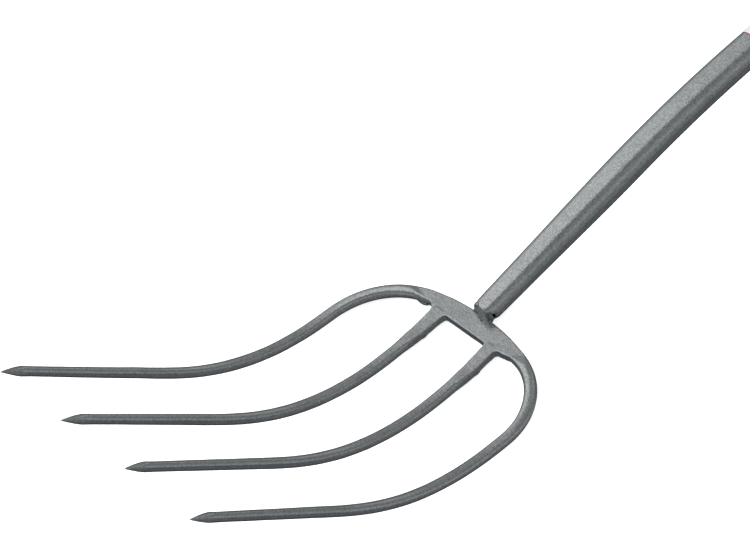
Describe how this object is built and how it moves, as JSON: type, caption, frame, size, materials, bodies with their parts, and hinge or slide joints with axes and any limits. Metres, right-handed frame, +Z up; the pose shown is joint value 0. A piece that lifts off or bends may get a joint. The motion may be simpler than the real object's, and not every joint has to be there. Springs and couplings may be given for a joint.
{
  "type": "digging fork",
  "caption": "Garden fork with round, pointed, upswept steel tines welded to a forged crosspiece, on a cranked tubular steel shaft with a strapped D-grip and a turned wooden bar.",
  "frame": {"origin": "on the ground, under the middle of the fork's bounding box, with the fork lying on its belly", "axes": "+Y along the fork from the tine points to the grip, +X across the tines, +Z up, towards the hollow side"},
  "size_m": [0.231, 1.0447, 0.1913],
  "materials": {
    "hammer_paint": "grey hammer-finish enamel, semi-gloss, finely speckled, over forged and drawn steel",
    "painted_weld": "the same enamel over rough weld beads",
    "label_stock": "white coated label with a thin red border and no lettering",
    "bright_steel": "plain zinc-plated steel, dulled",
    "ash": "turned ash, clear varnish",
    "black_plastic": "moulded black plastic"
  },
  "bodies": {
    "root": {"crosspiece": "hammer_paint", "outer_tine_left": "hammer_paint", "outer_tine_right": "hammer_paint", "inner_tine_left": "hammer_paint", "inner_tine_right": "hammer_paint", "outer_weld_left": "painted_weld", "outer_weld_right": "painted_weld", "inner_weld_left": "painted_weld", "inner_weld_right": "painted_weld", "neck_weld": "painted_weld", "shaft_tube": "hammer_paint", "label": "label_stock", "grip_strap_left": "hammer_paint", "grip_strap_right": "hammer_paint", "strap_rivet_lower": "bright_steel", "strap_rivet_upper": "bright_steel", "grip_bar": "ash", "grip_bar_rivet": "bright_steel", "grip_washer_left": "bright_steel", "grip_washer_right": "bright_steel", "shaft_end_plug": "black_plastic"}
  },
  "joints": []
}
